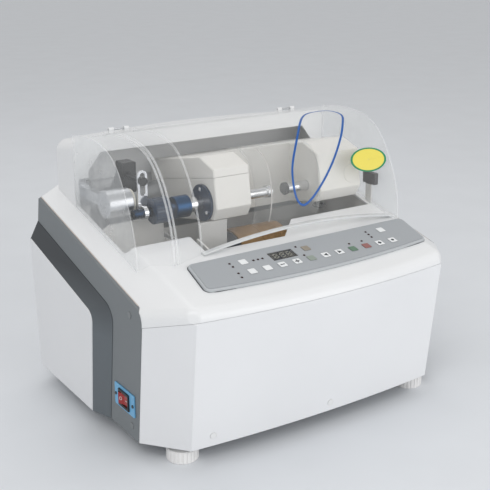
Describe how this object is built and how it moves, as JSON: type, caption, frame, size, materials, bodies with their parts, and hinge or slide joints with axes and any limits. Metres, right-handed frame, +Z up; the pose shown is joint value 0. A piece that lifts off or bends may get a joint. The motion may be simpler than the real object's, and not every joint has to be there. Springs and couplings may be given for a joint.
{
  "type": "automatic lens edger",
  "caption": "Table-top lens edging machine with a bowed white housing, a sloping keypad, a hinged clear cover, a swinging carriage with a lens shaft, and grinding wheels in a wet tub.",
  "frame": {"origin": "centre of the bounding box at the base, under the feet", "axes": "+X to the right seen from the front, +Y to the back, +Z up"},
  "size_m": [0.534, 0.4282, 0.4027],
  "materials": {
    "white_body": "semi-gloss white",
    "white_plastic": "smooth white moulding",
    "grey_band": "satin grey",
    "dark_bevel": "satin dark grey",
    "panel_grey": "satin light grey",
    "overlay": "printed film",
    "window": "dark smoked red",
    "lamp": "clear red",
    "board": "green board",
    "switch_blue": "light blue plate",
    "black_plastic": "fine grain black",
    "rocker_red": "translucent red",
    "steel": "machined",
    "polished": "polished",
    "zinc": "zinc-plated sheet",
    "casting": "fine cast",
    "clear": "clear moulding",
    "lip": "pale strip",
    "tub": "light grey moulding",
    "bronze": "bonded grinding ring",
    "rubber": "black rubber",
    "foot": "ribbed white foot",
    "blue_ring": "anodised dark blue",
    "pale_cam": "off-white",
    "motor_paint": "dark grey"
  },
  "bodies": {
    "housing": {"base_tray": "zinc", "feet": "foot", "chassis_frame": "zinc", "front_panel": "white_body", "screw_caps": "white_plastic", "side_band_left": "grey_band", "side_band_right": "grey_band", "side_bevel_left": "dark_bevel", "side_bevel_right": "dark_bevel", "side_panel_left": "white_body", "side_panel_right": "white_body", "top_cover": "white_plastic", "rear_panel": "white_body", "power_inlet": "black_plastic", "water_inlet": "black_plastic", "drain_outlet": "black_plastic", "control_panel": "panel_grey", "keypad_overlay": "overlay", "display_window": "window", "indicator_lights": "lamp", "control_board": "board", "switch_plate": "switch_blue", "switch_frame": "black_plastic", "switch_screws": "steel", "power_supply": "zinc", "hinge_pins": "steel", "splash_tub": "tub", "pattern_tray": "tub", "pattern_shoe": "steel", "spindle_bearings": "casting", "grinding_motor": "motor_paint", "drive_belt": "rubber", "shaft_brackets": "casting", "size_motor": "steel", "interlock_switch": "black_plastic"},
    "cover": {"clear_cover": "clear", "cover_lip": "lip"},
    "traverse": {"swing_shaft": "polished"},
    "carriage": {"carriage_frame": "casting", "head_lower": "white_plastic", "head_lid": "white_plastic", "arm_cover": "white_plastic", "spray_apron": "rubber", "bearing_flange": "black_plastic", "coolant_nozzle": "black_plastic", "drive_motor": "motor_paint", "slotted_link": "polished"},
    "lens_turn": {"lens_shaft": "steel", "shaft_knob": "black_plastic", "pattern_coupling": "blue_ring"},
    "clamp": {"clamp_quill": "polished"},
    "pad": {"clamp_pad": "rubber"},
    "spindle": {"wheel_spindle": "steel", "roughing_wheel": "bronze", "bevel_wheel": "bronze", "polishing_wheel": "bronze", "wheel_flange": "motor_paint"},
    "motor_rotor": {"motor_pulley": "steel"},
    "cam": {"size_cam": "pale_cam"},
    "mains_switch": {"rocker": "rocker_red"}
  },
  "joints": [
    {"name": "cover_hinge", "type": "hinge", "parent": "housing", "child": "cover", "pos_m": [0, 0.115, 0.3976], "axis": [-1, 0, 0], "range_deg": [0, 80]},
    {"name": "carriage_traverse", "type": "slide", "parent": "housing", "child": "traverse", "axis": [1, 0, 0], "range_m": [0, 0.008]},
    {"name": "carriage_swing", "type": "hinge", "parent": "traverse", "child": "carriage", "pos_m": [0, 0.1385, 0.285], "axis": [1, 0, 0], "range_deg": [0, 12]},
    {"name": "lens_turning", "type": "hinge", "parent": "carriage", "child": "lens_turn", "pos_m": [0, 0.0035, 0.3], "axis": [1, 0, 0], "continuous": true},
    {"name": "clamp_slide", "type": "slide", "parent": "carriage", "child": "clamp", "axis": [-1, 0, 0], "range_m": [0, 0.016]},
    {"name": "pad_turning", "type": "hinge", "parent": "clamp", "child": "pad", "pos_m": [0, 0.0035, 0.3], "axis": [1, 0, 0], "continuous": true},
    {"name": "spindle_turning", "type": "hinge", "parent": "housing", "child": "spindle", "pos_m": [0, 0.0185, 0.195], "axis": [1, 0, 0], "continuous": true},
    {"name": "motor_turning", "type": "hinge", "parent": "housing", "child": "motor_rotor", "pos_m": [0, 0.0815, 0.078], "axis": [1, 0, 0], "continuous": true},
    {"name": "cam_turning", "type": "hinge", "parent": "housing", "child": "cam", "pos_m": [0, 0.0315, 0.312], "axis": [1, 0, 0], "continuous": true},
    {"name": "switch_rocking", "type": "hinge", "parent": "housing", "child": "mains_switch", "pos_m": [-0.2531, -0.087, 0.075], "axis": [0, 0, -1], "range_deg": [0, 18]}
  ],
  "couplings": [
    {"joint": "pad_turning", "follows": "lens_turning", "ratio": 1},
    {"joint": "motor_turning", "follows": "spindle_turning", "ratio": 0.80769}
  ]
}
